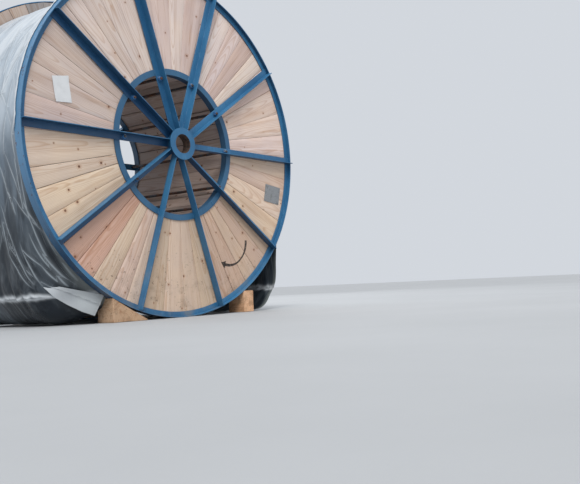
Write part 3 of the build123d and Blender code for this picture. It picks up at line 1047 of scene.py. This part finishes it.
def columns_across(count, closer):
    """Places across the wrap, closer together by a factor where its left side is drawn in."""
    fine = np.linspace(-WRAP_HALF_WIDTH, WRAP_HALF_WIDTH, 800)
    reach = abs(HANG_MIDDLE[0][0] - HANG_NEAR[0][0])
    plan = np.array([(reach * pulled(y), y) for y in fine])
    weight = np.where(fine[1:] < -PULLED_FROM, closer, 1.0)
    run = np.concatenate([[0], np.cumsum(np.linalg.norm(np.diff(plan, axis=0), axis=1) * weight)])
    return np.interp(np.linspace(0, run[-1], count), run, fine)


# Creases that run down to the near left chock and up from the side, as (y, z) on the left
TRACED_CREASES = (
    ((-0.116, 0.613), (-0.185, 0.420), (-0.263, 0.233)),
    ((-0.244, 0.394), (-0.308, 0.310), (-0.337, 0.214)),
    ((-0.229, 0.654), (-0.352, 0.485), (-0.385, 0.300)),
    ((-0.195, 0.867), (-0.278, 0.660), (-0.347, 0.492)),
    ((-0.293, 0.454), (-0.337, 0.269), (-0.345, 0.205)),
    ((-0.111, 0.537), (-0.140, 0.377), (-0.249, 0.216)),
    ((-0.318, 0.403), (-0.357, 0.220)),
    ((-0.367, 0.403), (-0.388, 0.215)),
    ((-0.135, 1.292), (-0.096, 1.466), (-0.032, 1.613)),
    ((-0.175, 1.153), (-0.140, 1.372), (-0.170, 1.562)),
    ((-0.185, 0.905), (-0.229, 1.096), (-0.239, 1.274)),
    ((-0.263, 0.943), (-0.313, 1.105), (-0.323, 1.255)),
    ((-0.346, 0.940), (-0.352, 0.720), (-0.358, 0.520), (-0.364, 0.340), (-0.370, 0.235)),
    ((-0.215, 1.330), (-0.300, 1.130), (-0.352, 0.960)),
    ((-0.060, 1.000), (-0.150, 0.780), (-0.215, 0.590)),
    ((-0.147, 1.615), (-0.086, 1.558), (-0.052, 1.496), (-0.062, 1.415), (-0.046, 1.389)),
    ((-0.164, 1.551), (-0.196, 1.463), (-0.227, 1.375), (-0.255, 1.275)),
    ((-0.261, 0.846), (-0.271, 0.771), (-0.280, 0.681), (-0.287, 0.572)),
    ((-0.147, 0.794), (-0.174, 0.711), (-0.209, 0.643), (-0.225, 0.577)),
    ((-0.143, 1.225), (-0.223, 1.112), (-0.271, 1.003), (-0.267, 0.850)),
)
TRACED_LIFT, TRACED_WIDTH = 0.004, 0.008
# How far from a crease's ridge its line and its shade are still clear
RIDGE_REACH = 0.018
# The ridge value of film that has no creases of its own
NO_RIDGE = (1.0, 0.0, 0.0)


def crease(start, end, lift, width, bend=0.0, longer=1.0):
    """A crease between two places (along the wrap, across it): its middle, direction,
    length, lift, width and bend."""
    along, across = end[0] - start[0], end[1] - start[1]
    return ((start[0] + end[0]) / 2, (start[1] + end[1]) / 2, atan2(across, along),
            hypot(along, across) * longer, lift, width, bend)


def scattered(rng, count, run, spread, lean, length, lift, width):
    """Random creases within a stretch of the wrap."""
    lines = []
    for _ in range(count):
        s, y = rng.uniform(*run), rng.uniform(-0.42, 0.42)
        angle, reach = rng.gauss(lean, spread), rng.uniform(*length) / 2
        ahead, aside = reach * cos(angle), reach * sin(angle)
        lines.append(crease((s - ahead, y - aside), (s + ahead, y + aside),
                            rng.uniform(*lift), rng.uniform(*width), rng.uniform(-0.5, 0.5)))
    return lines


def gathered(rng, count, hem, way, places, reach, lean):
    """Random creases that run down to a hem. way is the direction from it up the wrap."""
    lines = []
    for _ in range(count):
        y = rng.uniform(*places)
        start = (hem + way * rng.uniform(*reach), y + rng.gauss(lean, 0.06))
        lines.append(crease(start, (hem + way * rng.uniform(0.0, 0.1), y),
                            rng.uniform(0.0012, 0.003), rng.uniform(0.007, 0.012),
                            rng.uniform(-0.3, 0.3)))
    return lines


def raised(s, y, lines):
    """Height of the creases, how far each place is stretched white, and its distance from
    the ridge of the nearest crease, with how clear that ridge is."""
    height, white, clear = np.zeros_like(s), np.zeros_like(s), np.zeros_like(s)
    ridge = np.full_like(s, 0.05)
    for s0, y0, angle, length, lift, width, bend in lines:
        ds, dy = s - s0, y - y0
        along = ds * cos(angle) + dy * sin(angle)
        across = dy * cos(angle) - ds * sin(angle) - bend * along ** 2
        near = np.clip(1 - (2 * along / length) ** 2, 0, 1)
        height += lift * near * np.exp(-np.abs(across) / width)
        white += min(1.0, lift / 0.006) * near * np.exp(-(across / width) ** 2)
        here = min(1.0, lift / 0.003) * near * np.exp(-(across / RIDGE_REACH) ** 2)
        ridge = np.where(here > clear, across, ridge)
        clear = np.maximum(here, clear)
    return height, white, ridge, clear


def place_film(name, points, faces, film, ridge=NO_RIDGE, replaces=()):
    """Makes a sheet of film, with the values that its material reads."""
    piece = Piece()
    piece.add(points, faces, film=film, ridge=ridge)
    return piece.place(name, [FILM], "wrap_film", replaces, sharp=60, closed=False)


def creased_film(name, line_for, rows, across, lines, folds, replaces=()):
    """A sheet of wrap film. line_for gives the cross-section at a place across the width;
    creases and soft folds raise it along its own outward direction."""
    columns = len(across)
    grid = np.stack([line_for(y) for y in across], axis=1)
    s = run_along(grid[:, columns - 1])[:, None] * np.ones((1, columns))
    y = np.ones((rows, 1)) * across[None, :]
    ahead = np.gradient(grid, axis=0)
    out = np.stack([-ahead[..., 1], ahead[..., 0]], axis=-1)
    out /= np.maximum(np.linalg.norm(out, axis=-1, keepdims=True), 1e-9)
    height, white, ridge, clear = raised(s, y, lines)
    soft, milky = folds(s, y)
    height += soft
    place = grid + out * height[..., None]
    place[..., 1] = np.maximum(place[..., 1], 0.002)

    def listed(*layers):
        return np.stack(layers, axis=-1).reshape(-1, 3).tolist()

    return place_film(name, listed(place[..., 0], y, place[..., 1]), grid_faces(rows, columns),
                      listed(white, height / 0.03, milky), listed(ridge, clear, 0 * clear),
                      replaces)


def waves(s, y, *layers):
    """Smooth noise over the sheet, summed over layers of (along, across, size)."""
    flat = [sum(size * ripple(a * along, b * across, size * 50)
                for along, across, size in layers)
            for a, b in zip(s.ravel(), y.ravel())]
    return np.array(flat).reshape(s.shape)


# The pleats beside a hem and the roll in it: how high, and how far from the hem they reach
PLEAT_HEIGHT, PLEAT_REACH, ROLL_REACH = 0.008, 0.12, 0.016


def film_wrap():
    """The wrap over the load. It lies on the load over the top, hangs free from its sides,
    is gathered into a hem above the deck, and on the left is drawn in to the near rim."""
    rng = random.Random("film")
    middle, line_for = wrap_lines()
    run = run_along(middle)
    end, hem, leave = run[-1], run[TUCK_ROWS], run[TUCK_ROWS + HANG_ROWS]
    left_half = slice(TUCK_ROWS, len(run) // 2)

    def at(y, z):
        return float(np.interp(z, line_for(y)[left_half, 1], run[left_half])), y

    lines = [crease(at(*a), at(*b), TRACED_LIFT, TRACED_WIDTH, longer=1.3)
             for points in TRACED_CREASES for a, b in zip(points, points[1:])]
    # More of them that gather at the chock, and a looser set on the hidden right side
    for _ in range(4):
        start = (hem + rng.uniform(0.22, 0.75), rng.uniform(-0.30, 0.16))
        stop = (hem + rng.uniform(0.0, 0.09), rng.uniform(-0.385, -0.30))
        lines.append(crease(start, stop, rng.uniform(0.0015, 0.0035), rng.uniform(0.005, 0.008),
                            rng.uniform(-0.25, 0.1)))
    lines += gathered(rng, 15, end - hem, -1, (-0.38, 0.38), (0.3, 0.9), 0.07)
    lines += gathered(rng, 9, hem, 1, (0.0, 0.38), (0.25, 0.8), -0.06)
    for low, high, lean in ((leave - 0.1, end / 2, -0.22), (end / 2, end - leave + 0.1, 0.22)):
        lines += scattered(rng, 30, (low, high), 0.22, lean, (0.35, 1.0), (0.001, 0.003),
                           (0.012, 0.030))
        lines += scattered(rng, 18, (low, high), 0.5, lean, (0.1, 0.4), (0.0006, 0.0016),
                           (0.005, 0.009))

    def folds(s, y):
        small = waves(s, y, (1.7, 13, 1.0), (4.5, 30, 0.5))
        broad = waves(s, y, (1.1, 6.5, 1.0))
        hanging = np.maximum(smooth(s, leave + 0.25, leave - 0.2),
                             smooth(s, end - leave - 0.25, end - leave + 0.2))
        soft = (0.0012 + (0.0012 * small + 0.0022 * np.abs(broad)) * (1 - hanging)
                + (0.006 * small + 0.010 * broad) * hanging)
        # The hems are rolled, and pleats gather towards them
        from_hem = np.minimum(np.abs(s - hem), np.abs(end - hem - s))
        leaning = y + 0.4 * from_hem * np.sin(5 * y)
        pleats = waves(s, leaning, (3.0, 34, 1.0), (7.0, 80, 0.5))
        pleats += 0.2 * np.sin(leaning * 90 + 7 * broad)
        pleats *= np.clip(0.5 + 1.6 * waves(s, y, (2.0, 4.5, 0.8)), 0.15, 1.3)
        soft += (PLEAT_HEIGHT * pleats * np.exp(-(from_hem / PLEAT_REACH) ** 2)
                 + PLEAT_HEIGHT * (1 + pleats) * np.exp(-(from_hem / ROLL_REACH) ** 2))
        ragged = from_hem - 0.008 - 0.012 * waves(0 * s, y, (1.0, 22, 1.0), (1.0, 60, 0.4))
        milky = np.exp(-(ragged / 0.012) ** 2) * np.clip(0.95 + 0.9 * pleats, 0.35, 1)
        return soft, milky

    made = creased_film("film_sheet", line_for, len(run), columns_across(FILM_COLUMNS, 1.8),
                        lines, folds, ["film_wrap"])


# A corner of the wrap that hangs beside the near left chock: its upper and lower edges
FLAP_UPPER = ((-0.803, -0.284, 0.214), (-0.740, -0.309, 0.206), (-0.671, -0.333, 0.188),
              (-0.590, -0.363, 0.167), (-0.511, -0.391, 0.149))
FLAP_LOWER = ((-0.800, -0.286, 0.207), (-0.750, -0.304, 0.150), (-0.690, -0.325, 0.106),
              (-0.625, -0.350, 0.068), (-0.561, -0.373, 0.042))
FLAP_OUTWARD = (-0.345, -0.939, 0.0)


def film_flap():
    """The smooth loose corner beside the near left chock."""
    columns, rows = 56, 22

    def edge(points):
        given = np.array(points)
        share = run_along(given) / run_along(given)[-1]
        return np.stack([np.interp(np.linspace(0, 1, columns), share, given[:, k])
                         for k in range(3)], axis=1)

    upper, lower, outward = edge(FLAP_UPPER), edge(FLAP_LOWER), np.array(FLAP_OUTWARD)
    points, film = [], []
    for row in range(rows):
        down = row / (rows - 1)
        for column in range(columns):
            u = column / (columns - 1)
            flat = upper[column] * (1 - down) + lower[column] * down
            wave = ripple(u * 2.4, down * 0.9, 3.0)
            lift = 0.012 + 0.026 * sin(pi * u) + 0.012 * wave * down
            lift += 0.008 * exp(-((down - 0.15 - 0.3 * u) / 0.05) ** 2)
            points.append(tuple(flat + outward * lift * (0.35 + 0.65 * u)))
            film.append((0.25 * exp(-(down / 0.08) ** 2), 0.5, 0.62 - 0.2 * u + 0.3 * wave))
    faces = [(a, d, c, b) for a, b, c, d in grid_faces(rows, columns)]
    made = place_film("film_flap", points, faces, film)


# The wrap's near edge in cross-section, (y, radius), from the load over the rim's corner
EDGE_PROFILE = ((-0.338, 0.931), (-0.362, 0.940), (-0.380, 0.960), (-0.3895, 0.986),
                (-0.3935, 0.9995), (-0.3985, 1.0026), (-0.408, 1.0030), (-0.4175, 1.0026))
EDGE_FROM, EDGE_TO = radians(100), radians(189.5)


def film_edge():
    """The wrap's near edge on the upper left, drawn over the corner of the rim's band."""
    rows, columns = 300, 26
    profile = np.array(EDGE_PROFILE)
    share = run_along(profile) / run_along(profile)[-1]
    points, film = [], []
    for row in range(rows):
        angle = EDGE_FROM + (EDGE_TO - EDGE_FROM) * row / (rows - 1)
        ragged = ripple(angle * 9, 2.0, 0)
        ragged += 0.5 * ripple(angle * 34, 5.0, 0)
        reach = 0.62 + 0.38 * float(smooth(angle, EDGE_FROM, EDGE_FROM + 0.3)
                                    * smooth(angle, EDGE_TO, EDGE_TO - 0.2))
        reach = min(1.0, reach * (0.95 + 0.07 * ragged))
        for column in range(columns):
            t = column / (columns - 1) * reach
            y, radius = (float(np.interp(t, share, profile[:, k])) for k in range(2))
            fold = ripple(angle * 16 + 3 * t, t * 1.5, 7.0)
            fold += 0.5 * ripple(angle * 48 - 4 * t, t * 3, 9.0)
            slope = exp(-((t - 0.38) / 0.2) ** 2)
            radius += 0.006 * fold * slope + float(smooth(t, 0.68, 0.78)) * 0.0009 * (1 + fold)
            x, z = polar(radius, angle)
            points.append((x, y, AXIS_HEIGHT + z))
            white = float(smooth(t, 0.5, 0.8)) * (0.75 + 0.4 * fold)
            film.append((max(0.0, 0.6 * fold * slope), 0.5, max(0.0, min(1.0, white))))
    made = place_film("film_edge", points, grid_faces(rows, columns), film)


def film_under():
    """The inner turn of the wrap, tight on the underside of the load."""
    rng = random.Random("under")
    rows, radius = 300, WRAP_RADIUS - 0.0012
    angles = np.linspace(radians(262), radians(98), rows)
    line = np.stack([-radius * np.sin(angles), AXIS_HEIGHT + radius * np.cos(angles)], axis=1)
    lines = scattered(rng, 60, (0, 2.7), 0.4, 0.0, (0.2, 0.7), (0.0006, 0.0018),
                      (0.003, 0.010))
    across = np.linspace(-WRAP_HALF_WIDTH, WRAP_HALF_WIDTH, 70)
    made = creased_film("film_under", lambda y: line, rows, across, lines,
                        lambda s, y: (0 * s, 0 * s))


# The rest of the scene

def carried_over():
    """Finishes for the model's own solids that stay in view."""
    for name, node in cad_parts.items():
        if name.startswith(("rim_", "inner_ring_", "spoke_", "hub_")):
            finish = BLUE_ENAMEL
        elif name == "tie_rods":
            finish = RUSTY_STEEL
        elif name == "cable_winding":
            finish = JACKET
        else:
            continue
        for place in node.material_slots:
            place.link = "OBJECT"
            place.material = finish


FLOOR_HALF = 40.0
SKY_STRENGTH = 0.85
# Each light's name, kind, place, size (an angle for the sun), power and colour
LIGHTS = (
    ("key_light", "SUN", (-3.0, -3.2, 6.5), radians(28), 2.2, (1.0, 0.985, 0.96)),
    ("top_light", "AREA", (0.5, 0.0, 5.5), 4.5, 70, (0.94, 0.97, 1.0)),
    ("fill_light", "AREA", (5.0, 4.0, 4.0), 4.0, 70, (0.96, 0.98, 1.0)),
)


def stage():
    """A plain pale floor, a pale sky and soft lights."""
    mesh = bpy.data.meshes.new("floor")
    corners = ((-1, -1), (1, -1), (1, 1), (-1, 1))
    mesh.from_pydata([(x * FLOOR_HALF, y * FLOOR_HALF, 0) for x, y in corners],
                     [], [(0, 1, 2, 3)])
    mesh.materials.append(floor_finish())
    floor = add_object("floor", mesh)
    floor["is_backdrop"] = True
    world = bpy.data.worlds.new("studio")
    world.use_nodes = True
    back = world.node_tree.nodes["Background"]
    back.inputs["Color"].default_value = paint(226, 231, 238)
    back.inputs["Strength"].default_value = SKY_STRENGTH
    bpy.context.scene.world = world
    for name, kind, place, size, power, colour in LIGHTS:
        light = bpy.data.lights.new(name, kind)
        light.energy, light.color = power, colour
        if kind == "SUN":
            light.angle = size
        else:
            light.size = size
        lamp = add_object(name, light)
        lamp.location = place
        direction = Vector((0, 0, AXIS_HEIGHT)) - Vector(place)
        lamp.rotation_euler = direction.to_track_quat("-Z", "Y").to_euler()
    bpy.context.scene.view_settings.view_transform = "Standard"


# The camera, fitted to the rim, the inner ring and the spokes in the photograph
CAMERA_PLACE = (-3.31762, -4.00996, 0.16038)
CAMERA_ANGLES = (92.64199, 2.60167, -57.06830)
CAMERA_LENS, CAMERA_SENSOR, CAMERA_SHIFT = 50.8157, 36.0, -0.17241


def camera():
    """The photograph's camera."""
    lens = bpy.data.cameras.new("camera")
    lens.lens, lens.sensor_width, lens.shift_x = CAMERA_LENS, CAMERA_SENSOR, CAMERA_SHIFT
    made = add_object("camera", lens)
    made.location = CAMERA_PLACE
    made.rotation_euler = Euler([radians(a) for a in CAMERA_ANGLES])
    bpy.context.scene.camera = made


for build in (camera, stage, carried_over, flange_boards, barrel, welds, fasteners,
              tag_and_plate, chocks, film_wrap, film_flap, film_edge, film_under):
    build()

({name: [list(corner) for corner in box]
           for name, box in (("cad", cad_box), ("visual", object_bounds()))})
